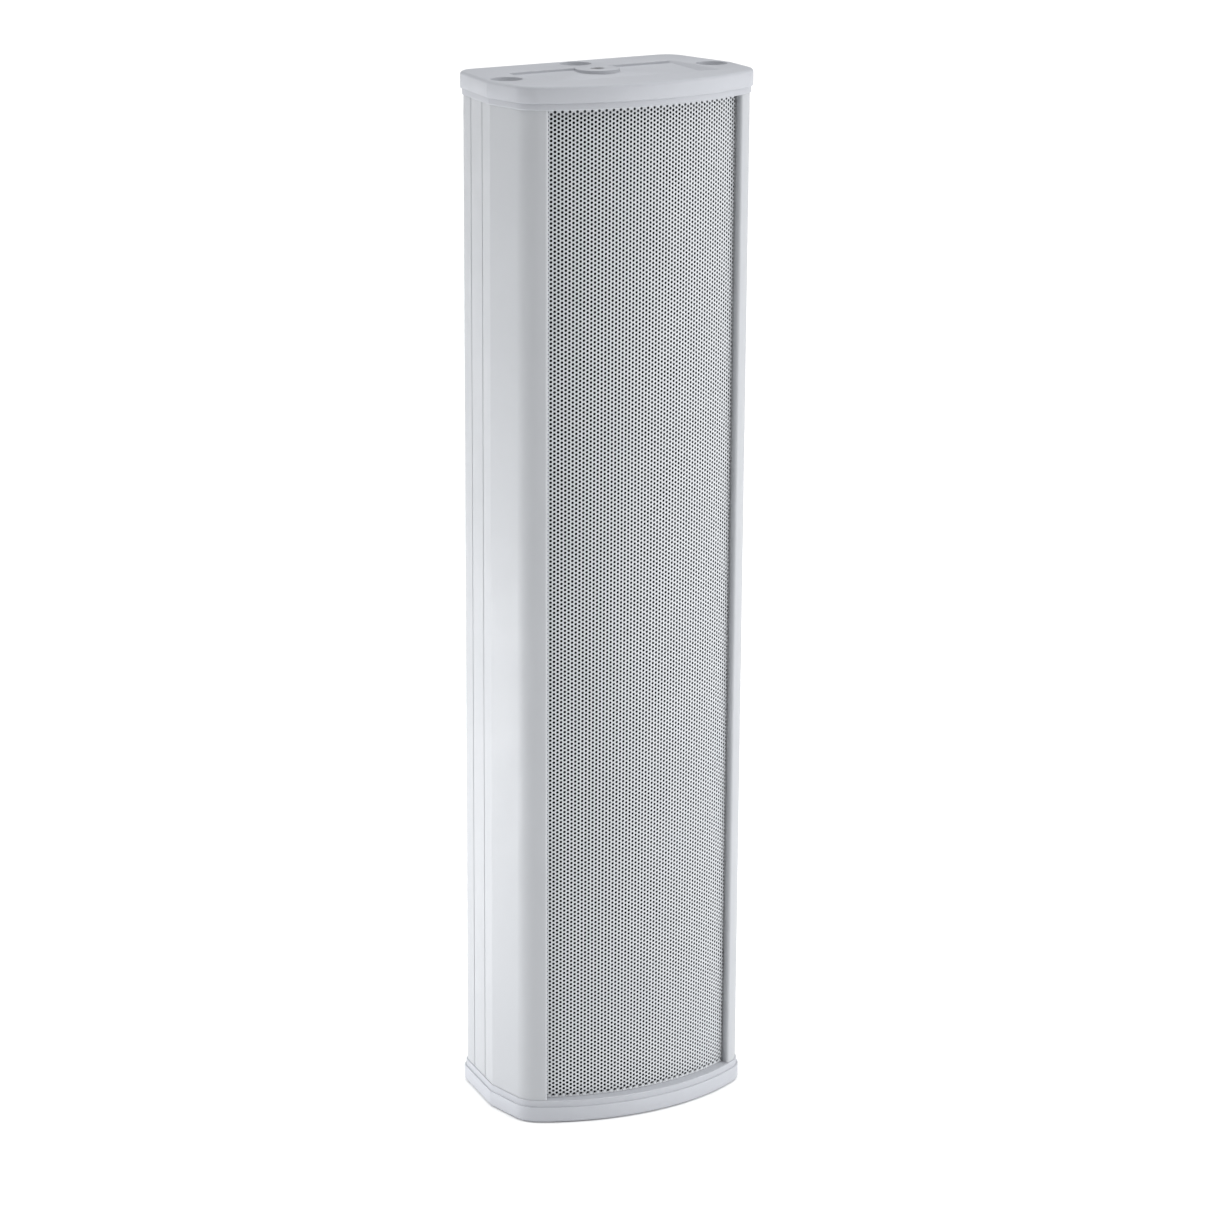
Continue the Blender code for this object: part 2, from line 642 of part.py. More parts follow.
def terminals(parts, finishes):
    """A screw terminal block on the rear wall, and the grommet through which the line comes in."""
    wall = REAR_Y - WALL
    loops = [rectangle(-16 * MM, -9 * MM, 16 * MM, 9 * MM)]
    for i in range(3):
        for side in (-4.5 * MM, 4.5 * MM):
            loops.append(arc(((i - 1) * 10 * MM, side), 2.2 * MM, 0, 315, 7))
    block = prism("terminal_block", loops, 11 * MM, parts, finishes["tape"])
    upright(block, wall - GAP - 5.5 * MM, 66 * MM)
    block.location.x = -22 * MM
    flange, neck, bore = 8.2 * MM, 6.1 * MM, 2.7 * MM
    outside, inside = 1.3 * MM, -WALL - 1.6 * MM
    profile = [
        (flange - 0.8 * MM, outside), (flange, outside - 0.6 * MM), (flange, 0.15 * MM),
        (neck, 0.15 * MM), (neck, -WALL - 0.15 * MM), (flange, -WALL - 0.15 * MM),
        (flange, inside), (bore, inside), (bore, outside),
    ]
    mesh = turned("cable_grommet", profile, parts)
    smooth(mesh)
    rear = (-math.pi / 2, 0, 0)
    at = (CABLE_OUTLET[0], REAR_Y, CABLE_OUTLET[1])
    place("cable_grommet", mesh, parts, finishes["rubber"], at, rear)


def damping(parts, finish):
    """A felt pad on the upper half of the rear wall, with a groove for the screw channel."""
    half, front, rear = 44 * MM, REAR_Y - 19 * MM, REAR_Y - WALL - GAP
    groove, floor = 4.2 * MM, REAR_WELL[1] - 4 * MM
    loop = [
        (-half, front), (half, front), (half, rear), (groove, rear),
        (groove, floor), (-groove, floor), (-groove, rear), (-half, rear),
    ]
    pad = prism("damping_pad", [loop], 180 * MM, parts, finish)
    pad.location = (0, 0, HEIGHT / 2 + 122 * MM)


def main():
    clear_scene()
    parts = collection(COLLECTION)
    helpers = collection("cutters")
    finishes = {
        "body": material("white_powder_coat", (0.74, 0.75, 0.76), 0.38),
        "cap": material("white_abs", (0.72, 0.74, 0.77), 0.45),
        "grille": material("white_grille", (0.80, 0.82, 0.84), 0.45),
        "cloth": material("black_cloth", (0.02, 0.02, 0.02), 0.95),
        "board": material("baffle_board", (0.10, 0.08, 0.06), 0.85),
        "steel": material("zinc_steel", (0.45, 0.46, 0.48), 0.4, 0.9),
        "ferrite": material("ferrite", (0.06, 0.06, 0.065), 0.6),
        "copper": material("copper_wire", (0.72, 0.35, 0.18), 0.35, 0.9),
        "spider": material("treated_cloth", (0.65, 0.48, 0.22), 0.9),
        "rubber": material("black_rubber", (0.03, 0.03, 0.03), 0.8),
        "cone": material("black_paper", (0.05, 0.05, 0.055), 0.9),
        "brass": material("brass", (0.78, 0.6, 0.28), 0.3, 1.0),
        "zinc": material("zinc_screw", (0.55, 0.55, 0.55), 0.35, 1.0),
        "tape": material("insulation", (0.75, 0.72, 0.6), 0.6),
        "foam": material("grey_foam", (0.12, 0.12, 0.13), 1.0),
        "felt": material("grey_felt", (0.35, 0.35, 0.36), 1.0),
    }
    section = Section(ARC_RADIUS)
    opening = Section(GRILLE_RADIUS, SHELF_RECESS)
    housing(section, parts, helpers, finishes["body"])
    end_caps(section, opening, parts, helpers, finishes)
    grille_and_cloth(parts, finishes)
    baffle(parts, finishes["board"])
    drive_units(parts, helpers, finishes)
    transformer(parts, finishes)
    terminals(parts, finishes)
    damping(parts, finishes["felt"])


main()
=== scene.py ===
import math

import bmesh
import bpy
import numpy as np
from mathutils import Matrix, Vector
from mathutils.geometry import tessellate_polygon


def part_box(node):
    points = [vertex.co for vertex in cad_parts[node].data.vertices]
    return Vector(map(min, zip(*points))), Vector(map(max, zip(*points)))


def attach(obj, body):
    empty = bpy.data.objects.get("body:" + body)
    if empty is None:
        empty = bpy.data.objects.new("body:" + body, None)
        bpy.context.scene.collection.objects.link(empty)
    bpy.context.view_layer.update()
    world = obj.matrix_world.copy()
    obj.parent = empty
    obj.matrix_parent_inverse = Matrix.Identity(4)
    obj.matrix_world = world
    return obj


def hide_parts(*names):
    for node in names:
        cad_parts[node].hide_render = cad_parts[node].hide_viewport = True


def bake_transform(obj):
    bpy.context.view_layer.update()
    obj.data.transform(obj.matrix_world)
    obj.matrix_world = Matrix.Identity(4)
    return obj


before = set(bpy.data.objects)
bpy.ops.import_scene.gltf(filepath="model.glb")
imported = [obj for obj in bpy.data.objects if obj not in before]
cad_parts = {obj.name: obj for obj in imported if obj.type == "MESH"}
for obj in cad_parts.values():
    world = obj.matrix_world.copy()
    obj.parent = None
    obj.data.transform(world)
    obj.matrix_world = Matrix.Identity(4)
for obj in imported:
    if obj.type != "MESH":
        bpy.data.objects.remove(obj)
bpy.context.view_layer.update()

# Sizes in metres, as the CAD has them ---------------------------------------------------------

MM = 0.001
HEIGHT = 505 * MM
DEPTH = 86.5 * MM
REAR_HALF, WIDE_HALF, CREASE_BACK = 57.9 * MM, 64.9 * MM, 42.3 * MM
FRONT_HALF, FRONT_BACK = 61.4 * MM, 68.8 * MM
REAR_RADIUS, FRONT_RADIUS = 8.7 * MM, 13.8 * MM
WALL = 1.8 * MM
RIM_OUT, COLLAR_OUT = 1.5 * MM, 0.6 * MM
SHELF_RECESS = 3.75 * MM
RIM_HEIGHT, COLLAR_HEIGHT = 7.8 * MM, 11 * MM
RIM_ROUND = 1.6 * MM
PLUG_OUT, PLUG_WALL, PLUG_DEPTH, CAP_PLATE = -2.1 * MM, 1.8 * MM, 7 * MM, 4.2 * MM
PLUG_FRONT = -13.6 * MM
POCKET = (44 * MM, -20 * MM, 20 * MM)
POCKET_FLARE = 3 * MM
PIVOT_Y, PIVOT_RADIUS = 14 * MM, 10.5 * MM
WELL_RADIUS, WELL_DEPTH = 7.4 * MM, 3 * MM
WELLS = {"left": (-55.5 * MM, 1.7 * MM), "right": (55.5 * MM, 1.7 * MM), "rear": (0.0, 34.3 * MM)}
NOSE_HALF = 53.3 * MM
NOSE_TIP = (51.1 * MM, -28.2 * MM)
LEDGE = [(51.1 * MM, -27.1 * MM), (52.7 * MM, -26.3 * MM)]
GRILLE_RADIUS, GRILLE_BACK = 121 * MM, 5.2 * MM
REAR_Y = DEPTH / 2
DRIVER_FACE = REAR_Y - 64.5 * MM
DRIVER_SPACING = 113 * MM
DRIVER_HEIGHTS = [HEIGHT / 2 + (i - 1.5) * DRIVER_SPACING for i in range(4)]
CABLE_OUTLET = (22 * MM, 48 * MM)
SCREW_HOLE = 2.1 * MM
PIVOT_MOUTH, PIVOT_BORE, PIVOT_SEAT = 3.4 * MM, 4.8 * MM, 8 * MM
PIVOT_STEP, PIVOT_DEPTH = 2.5 * MM, 11 * MM

# The grille's own finish. The CAD sheet is thicker and has no holes. The pitch is assumed, and the
# radius was set by how dark the holes look, not measured.
HOLE_PITCH, HOLE_RADIUS = 2 * MM, 0.72 * MM
GRILLE_SHEET, CLOTH_BACK = 0.35 * MM, 1.4 * MM
GRILLE_END = HEIGHT / 2 - COLLAR_HEIGHT - 0.15 * MM
GRILLE_RIM = 53.6 * MM
MIDDLE_BAND_HALF, BAND_SHIFT = 80 * MM, 0.5 * MM

# The plan of the body -------------------------------------------------------------------------


def arc(centre, radius, start, end, steps):
    angles = [math.radians(start + (end - start) * i / steps) for i in range(steps + 1)]
    return [(centre[0] + radius * math.cos(a), centre[1] + radius * math.sin(a)) for a in angles]


def mirrored(half):
    return half + [(-x, y) for x, y in reversed(half) if x > 1e-6]


class Section:
    def __init__(self, front_radius, recess=0.0):
        self.side = math.atan2(WIDE_HALF - REAR_HALF, CREASE_BACK)
        self.cheek = math.atan2(WIDE_HALF - FRONT_HALF, FRONT_BACK - CREASE_BACK)
        self.crease = (WIDE_HALF, REAR_Y - CREASE_BACK)
        self.front_radius = front_radius
        self.front_centre = (0.0, front_radius + recess - DEPTH / 2)
        y = REAR_Y - REAR_RADIUS
        side_x = REAR_HALF + (REAR_Y - y) * math.tan(self.side)
        self.rear_corner = (side_x - REAR_RADIUS / math.cos(self.side), y)
        self.front_corner = self.fillet_front()

    def fillet_front(self):
        start = (
            self.crease[0] - FRONT_RADIUS * math.cos(self.cheek),
            self.crease[1] + FRONT_RADIUS * math.sin(self.cheek),
        )
        along = (-math.sin(self.cheek), -math.cos(self.cheek))
        rel = (start[0] - self.front_centre[0], start[1] - self.front_centre[1])
        half_b = rel[0] * along[0] + rel[1] * along[1]
        inner = self.front_radius - FRONT_RADIUS
        run = -half_b + math.sqrt(half_b**2 - (rel[0] ** 2 + rel[1] ** 2 - inner**2))
        return (start[0] + run * along[0], start[1] + run * along[1])

    def corner_end(self):
        x = self.front_corner[0] - self.front_centre[0]
        y = self.front_corner[1] - self.front_centre[1]
        return math.degrees(math.atan2(y, x))

    def crease_arc(self, out, radius=2.2 * MM, steps=4):
        """The crease, rounded a little, between the side and the cheek."""
        bend = (self.side + self.cheek) / 2
        turn = (self.cheek - self.side) / 2
        reach = out / math.cos(bend) - radius / math.cos(bend)
        centre = (
            self.crease[0] + reach * math.cos(turn),
            self.crease[1] - reach * math.sin(turn),
        )
        return arc(centre, radius, math.degrees(self.side), -math.degrees(self.cheek), steps)

    def side_point(self, back, out):
        """A point outside the side wall, at a distance in front of the rear face."""
        x = REAR_HALF + back * math.tan(self.side) + out * math.cos(self.side)
        return (x, REAR_Y - back + out * math.sin(self.side))

    def half(self, out, stop_x=0.0, grooves=False, steps=12):
        side, cheek = math.degrees(self.side), -math.degrees(self.cheek)
        radius = self.front_radius + out
        stop = -90 + math.degrees(math.asin(stop_x / radius))
        points = [(0.0, REAR_Y + out)]
        points += arc(self.rear_corner, REAR_RADIUS + out, 90, side, steps)
        if grooves:
            for back in (16.1 * MM, 31.4 * MM):
                points += self.groove(back)
        points += self.crease_arc(out)
        corner = self.corner_end()
        points += arc(self.front_corner, FRONT_RADIUS + out, cheek, corner, steps)
        count = 5 if stop_x else 24
        points += arc(self.front_centre, radius, corner, stop, count)[1:]
        return points

    def groove(self, back):
        shape = [
            (-0.75, 0.0), (-0.5, -0.04), (-0.36, -0.16), (-0.22, -0.75),
            (0.22, -0.75), (0.36, -0.16), (0.5, -0.04), (0.75, 0.0),
        ]
        return [self.side_point(back + a * MM, b * MM) for a, b in shape]


FRONT_RISE = DEPTH - FRONT_BACK
BODY = Section((FRONT_HALF**2 + FRONT_RISE**2) / (2 * FRONT_RISE))
OPENING = Section(GRILLE_RADIUS, SHELF_RECESS)

# Mesh helpers ---------------------------------------------------------------------------------


def make(name, verts, faces, smooth=35):
    mesh = bpy.data.meshes.new(name)
    mesh.from_pydata([tuple(v) for v in verts], [], faces)
    finish_mesh(mesh, smooth)
    obj = bpy.data.objects.new(name, mesh)
    bpy.context.scene.collection.objects.link(obj)
    return obj


def finish_mesh(mesh, smooth=35):
    shape = bmesh.new()
    shape.from_mesh(mesh)
    bmesh.ops.remove_doubles(shape, verts=shape.verts, dist=1e-6)
    bmesh.ops.dissolve_degenerate(shape, dist=1e-7, edges=shape.edges)
    bmesh.ops.recalc_face_normals(shape, faces=shape.faces)
    shape.to_mesh(mesh)
    shape.free()
    mesh.shade_smooth()
    mesh.set_sharp_from_angle(angle=math.radians(smooth))


class Sketch:
    """Collects vertices and faces for one mesh."""

    def __init__(self):
        self.verts = []
        self.faces = []

    def loop(self, points, z):
        """A closed loop. z is a number, or a function of (x, y)."""
        start = len(self.verts)
        for x, y in points:
            self.verts.append((x, y, z(x, y) if callable(z) else z))
        return list(range(start, start + len(points)))

    def bridge(self, a, b):
        count = len(a)
        for i in range(count):
            j = (i + 1) % count
            self.faces.append((a[i], a[j], b[j], b[i]))

    def fill(self, outer, *holes):
        loops = [outer, *holes]
        flat = [i for ring in loops for i in ring]
        coords = [[Vector((*self.verts[i][:2], 0)) for i in ring] for ring in loops]
        for tri in tessellate_polygon(coords):
            self.faces.append(tuple(flat[i] for i in tri))

    def stack(self, levels):
        """Bridges a list of (points, z) loops and returns the first and last."""
        rings = [self.loop(points, z) for points, z in levels]
        for a, b in zip(rings, rings[1:]):
            self.bridge(a, b)
        return rings[0], rings[-1]


def turned(name, profile, segments=56, closed=True):
    """A mesh of (radius, height) points turned about Z."""
    verts, faces, rings = [], [], []
    for r, z in profile:
        if r < 1e-7:
            verts.append((0, 0, z))
            rings.append([len(verts) - 1] * segments)
            continue
        start = len(verts)
        for i in range(segments):
            a = 2 * math.pi * i / segments
            verts.append((r * math.cos(a), r * math.sin(a), z))
        rings.append(list(range(start, start + segments)))
    pairs = list(zip(rings, rings[1:]))
    if closed:
        pairs.append((rings[-1], rings[0]))
    for a, b in pairs:
        for i in range(segments):
            j = (i + 1) % segments
            face = []
            for v in (a[i], a[j], b[j], b[i]):
                if v not in face:
                    face.append(v)
            if len(face) > 2:
                faces.append(tuple(face))
    mesh = bpy.data.meshes.new(name)
    mesh.from_pydata(verts, [], faces)
    finish_mesh(mesh)
    return mesh


def mm_points(*points):
    return [(r * MM, z * MM) for r, z in points]


def add(name, mesh, material, body="cabinet", stands_for=(), at=None):
    """Places a copy of a mesh, gives it a material and a body, and hides the CAD parts it stands for."""
    data = mesh.copy()
    if at is not None:
        data.transform(at)
    obj = bpy.data.objects.new(name, data)
    bpy.context.scene.collection.objects.link(obj)
    return settle(obj, material, body, stands_for)


def settle(obj, material, body="cabinet", stands_for=()):
    obj.data.materials.clear()
    obj.data.materials.append(material)
    if body:
        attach(obj, body)
    if stands_for:
        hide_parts(*stands_for)
    return obj


# Materials ------------------------------------------------------------------------------------


class Nodes:
    """A material made of nodes, in object coordinates."""

    def __init__(self, name, roughness=0.5, metallic=0.0, **constants):
        self.material = bpy.data.materials.new(name)
        self.material.use_nodes = True
        self.tree = self.material.node_tree
        self.shader = self.tree.nodes["Principled BSDF"]
        self.shader.inputs["Roughness"].default_value = roughness
        self.shader.inputs["Metallic"].default_value = metallic
        for key, value in constants.items():
            self.shader.inputs[key.replace("_", " ")].default_value = value
        self.coords = self.tree.nodes.new("ShaderNodeTexCoord").outputs["Object"]

    def new(self, kind, **values):
        node = self.tree.nodes.new(kind)
        for key, value in values.items():
            setattr(node, key, value)
        return node

    def link(self, a, b):
        self.tree.links.new(a, b)

    def stretched(self, scale):
        node = self.new("ShaderNodeMapping")
        node.inputs["Scale"].default_value = scale
        self.link(self.coords, node.inputs["Vector"])
        return node.outputs["Vector"]

    def noise(self, scale, detail=3.0, rough=0.55, stretch=None):
        node = self.new("ShaderNodeTexNoise")
        node.inputs["Scale"].default_value = scale
        node.inputs["Detail"].default_value = detail
        node.inputs["Roughness"].default_value = rough
        self.link(self.stretched(stretch) if stretch else self.coords, node.inputs["Vector"])
        return node.outputs["Fac"]

    def ramp(self, source, *stops):
        node = self.new("ShaderNodeValToRGB")
        elements = node.color_ramp.elements
        while len(elements) < len(stops):
            elements.new(0.5)
        for element, (position, colour) in zip(elements, stops):
            element.position = position
            element.color = (*colour, 1)
        self.link(source, node.inputs["Fac"])
        return node.outputs["Color"]

    def mix(self, a, b, factor, mode="MIX"):
        node = self.new("ShaderNodeMix", data_type="RGBA", blend_type=mode)
        for value, socket in ((factor, 0), (a, 6), (b, 7)):
            if hasattr(value, "is_output"):
                self.link(value, node.inputs[socket])
            elif isinstance(value, tuple):
                node.inputs[socket].default_value = (*value, 1)
            else:
                node.inputs[socket].default_value = value
        return node.outputs[2]

    def spread(self, source, low, high, start=0.3, end=0.7):
        node = self.new("ShaderNodeMapRange")
        node.inputs["From Min"].default_value = start
        node.inputs["From Max"].default_value = end
        node.inputs["To Min"].default_value = low
        node.inputs["To Max"].default_value = high
        self.link(source, node.inputs["Value"])
        return node.outputs["Result"]

    def colour(self, source):
        self.link(source, self.shader.inputs["Base Color"])

    def roughness(self, source):
        self.link(source, self.shader.inputs["Roughness"])

    def bump(self, height, distance, strength=1.0, under=None):
        node = self.new("ShaderNodeBump")
        node.inputs["Distance"].default_value = distance
        node.inputs["Strength"].default_value = strength
        self.link(height, node.inputs["Height"])
        if under:
            self.link(under, node.inputs["Normal"])
        self.link(node.outputs["Normal"], self.shader.inputs["Normal"])
        return node.outputs["Normal"]


def shade(colour, factor):
    return tuple(min(1.0, c * factor) for c in colour)


def coated(name, colour, roughness, peel, grain, gloss):
    """Paint or moulded plastic: slow colour drift, fine texture, and a trace of dust."""
    m = Nodes(name, roughness, Specular_IOR_Level=gloss)
    slow = m.ramp(m.noise(9, 2), (0.35, shade(colour, 0.985)), (0.65, shade(colour, 1.01)))
    fine = m.noise(grain, 2)
    m.colour(m.mix(slow, shade(colour, 0.97), m.spread(m.noise(60, 5), 0, 0.5, 0.5, 0.8)))
    m.roughness(m.spread(m.noise(30, 4), roughness - 0.05, roughness + 0.06))
    m.bump(fine, peel)
    return m.material


def brushed(name, colour, roughness, stretch=(1, 1, 30), scale=260):
    m = Nodes(name, roughness, metallic=1.0)
    lines = m.noise(scale, 4, 0.6, stretch)
    m.colour(m.ramp(lines, (0.3, shade(colour, 0.82)), (0.7, shade(colour, 1.12))))
    m.roughness(m.spread(m.noise(80, 3), roughness - 0.08, roughness + 0.12))
    m.bump(lines, 0.00002)
    return m.material


def fibrous(name, colour, scale, depth, roughness=0.95, contrast=0.25, **constants):
    """Felt, foam, paper pulp or treated cloth."""
    m = Nodes(name, roughness, **constants)
    fibre = m.noise(scale, 6, 0.7)
    blotch = m.noise(scale / 14, 3)
    light = m.ramp(fibre, (0.3, shade(colour, 1 - contrast)), (0.7, shade(colour, 1 + contrast)))
    m.colour(m.mix(light, shade(colour, 0.8), m.spread(blotch, 0, 0.5)))
    m.roughness(m.spread(blotch, roughness - 0.08, min(1.0, roughness + 0.04)))
    m.bump(fibre, depth)
    return m.material


def woven(name, colour):
    thread = 0.6 * MM
    m = Nodes(name, 0.95)
    waves = []
    for direction in ("X", "Z"):
        wave = m.new("ShaderNodeTexWave", bands_direction=direction)
        wave.inputs["Scale"].default_value = 2 * math.pi / thread / 20
        wave.inputs["Distortion"].default_value = 0.6
        m.link(m.coords, wave.inputs["Vector"])
        waves.append(wave.outputs["Fac"])
    weave = m.new("ShaderNodeMath", operation="MAXIMUM")
    m.link(waves[0], weave.inputs[0])
    m.link(waves[1], weave.inputs[1])
    m.colour(m.ramp(weave.outputs[0], (0.2, shade(colour, 0.4)), (0.9, shade(colour, 1.3))))
    m.roughness(m.spread(m.noise(200), 0.88, 1.0))
    m.bump(weave.outputs[0], 0.0001)
    return m.material


MATERIALS = {
    "body": coated("powder_coat", (0.40, 0.412, 0.432), 0.5, 0.000012, 700, gloss=0.22),
    "cap": coated("cap_plastic", (0.40, 0.412, 0.442), 0.5, 0.00002, 1400, gloss=0.25),
    "grille": coated("grille_paint", (0.52, 0.537, 0.558), 0.5, 0.000008, 1200, gloss=0.3),
    "cloth": woven("acoustic_cloth", (0.006, 0.006, 0.0065)),
    "board": fibrous("fibre_board", (0.10, 0.075, 0.05), 500, 0.0001, 0.85),
    "steel": brushed("plated_steel", (0.62, 0.63, 0.65), 0.36),
    "screw": brushed("screw_zinc", (0.66, 0.66, 0.66), 0.32),
    "brass": brushed("turned_brass", (0.78, 0.6, 0.28), 0.3),
    "copper": brushed("copper_winding", (0.72, 0.35, 0.18), 0.35, (1, 30, 1), 500),
    "ferrite": fibrous("ferrite", (0.055, 0.055, 0.06), 350, 0.00005, 0.6),
    "spider": fibrous("treated_cloth", (0.5, 0.34, 0.13), 900, 0.00008),
    "rubber": fibrous("soft_rubber", (0.028, 0.028, 0.03), 600, 0.00002, 0.7, 0.12),
    "cone": fibrous("paper_pulp", (0.045, 0.045, 0.05), 700, 0.00006),
    "tape": fibrous("insulation", (0.7, 0.63, 0.42), 300, 0.00003, 0.6, 0.1),
    "foam": fibrous("grey_foam", (0.10, 0.10, 0.11), 1500, 0.0002, 0.98, 0.5),
    "felt": fibrous("grey_felt", (0.30, 0.30, 0.31), 800, 0.0003, 0.98, 0.4),
}

# Housing --------------------------------------------------------------------------------------


def housing():
    low, high = COLLAR_HEIGHT + 0.06 * MM, HEIGHT - COLLAR_HEIGHT - 0.06 * MM
    outer = BODY.half(0.0, NOSE_HALF, True)
    inner = BODY.half(-WALL, NOSE_HALF)
    right = outer + nose(outer[-1]) + LEDGE + inner[::-1]
    loop = right[:-1] + [(-x, y) for x, y in reversed(right[1:])]
    loop = [p for i, p in enumerate(loop) if i == 0 or math.dist(p, loop[i - 1]) > 1e-6]
    sketch = Sketch()
    edge = 0.15 * MM
    levels = [low, low + edge, high - edge, high]
    first, last = sketch.stack([(loop, z) for z in levels])
    sketch.fill(first)
    sketch.fill(last)
    inside_ribs(sketch, low + 1 * MM, high - 1 * MM)
    obj = make("housing_shell", sketch.verts, sketch.faces, 30)
    drill = turned("hole", mm_points((0, 5), (6.4, 5), (6.4, -5), (0, -5)), closed=False)
    hole = bpy.data.objects.new("hole", drill)
    bpy.context.scene.collection.objects.link(hole)
    outlet = Matrix.Translation((CABLE_OUTLET[0], REAR_Y, CABLE_OUTLET[1]))
    hole.matrix_world = outlet @ Matrix.Rotation(math.pi / 2, 4, "X")
    obj = subtract(obj, hole)
    settle(obj, MATERIALS["body"], "cabinet", ["housing"])


def nose(start, steps=12):
    """The rounded edge beside the grille: a quarter of an ellipse that leaves the front arc
    smoothly and ends facing the grille."""
    slope = math.asin(start[0] / BODY.front_radius)
    forward = (NOSE_TIP[0] - start[0], (NOSE_TIP[0] - start[0]) * math.tan(slope))
    back = NOSE_TIP[1] - start[1] - forward[1]
    points = []
    for i in range(1, steps + 1):
        turn = math.radians(90 * i / steps)
        x = start[0] + forward[0] * math.sin(turn)
        y = start[1] + forward[1] * math.sin(turn) + back * (1 - math.cos(turn))
        points.append((x, y))
    return points


def subtract(obj, cutter):
    change = obj.modifiers.new("cut", "BOOLEAN")
    change.object = cutter
    change.solver = "EXACT"
    bpy.context.view_layer.update()
    graph = bpy.context.evaluated_depsgraph_get()
    mesh = bpy.data.meshes.new_from_object(obj.evaluated_get(graph))
    obj.modifiers.clear()
    obj.data = mesh
    bpy.data.objects.remove(cutter)
    mesh.shade_smooth()
    mesh.set_sharp_from_angle(angle=math.radians(30))
    return obj


def inside_ribs(sketch, low, high):
    for side, mouth in (("right", 180), ("left", 0), ("rear", 270)):
        centre = WELLS[side]
        points = arc(centre, 3.6 * MM, mouth + 35, mouth + 325, 20)
        points += arc(centre, 1.75 * MM, mouth + 325, mouth + 35, 16)
        prism(sketch, points, low, high)
    bars = [(-1.5, 37, 1.5, 42)]
    for side in (-1, 1):
        bars.append((side * 58.2, 0.2, side * 63.6, 3.7))
        bars.append((side * 50.8, -25.2, side * 58.7, -24))
        bars.append((side * 56.6, -15.7, side * 61.5, -14.3))
    for x0, y0, x1, y1 in bars:
        corners = [(x0, y0), (x1, y0), (x1, y1), (x0, y1)]
        prism(sketch, [(x * MM, y * MM) for x, y in corners], low, high)


def prism(sketch, points, low, high):
    first, last = sketch.stack([(points, low), (points, high)])
    sketch.fill(first)
    sketch.fill(last)


# End caps -------------------------------------------------------------------------------------


def pocket_loop(inset, flare=0.0):
    """The pocket's outline, moved inward, with the pivot boss standing in its rear edge. flare
    moves its two ends outward, most of all at the front."""
    half, front, rear = POCKET
    half, front, rear = half - inset, front + inset, rear - inset
    boss = PIVOT_RADIUS + inset
    corner = 1.6 * MM
    meet = math.degrees(math.acos((rear - PIVOT_Y) / boss))
    points = arc((half - corner, rear - corner), corner, 90, 0, 6)
    points += arc((half - corner, front + corner), corner, 0, -90, 6)
    points += arc((-half + corner, front + corner), corner, -90, -180, 6)
    points += arc((-half + corner, rear - corner), corner, 180, 90, 6)
    spread = [(x + math.copysign(flare * (0.3 + 0.7 * forward(y)), x), y) for x, y in points]
    return spread + arc((0, PIVOT_Y), boss, 90 + meet, 450 - meet, 44)


def forward(y):
    """How far a point lies towards the pocket's front edge, from 0 to 1."""
    return min(1.0, max(0.0, (POCKET[2] - y) / (POCKET[2] - POCKET[1])))


def pocket_floor(x, y):
    """The pocket is shallow at the back and deeper at the front."""
    return -(1.2 + 1.5 * forward(y)) * MM


def circle(centre, radius, steps=48):
    return arc(centre, radius, 0, 360 * (steps - 1) / steps, steps - 1)


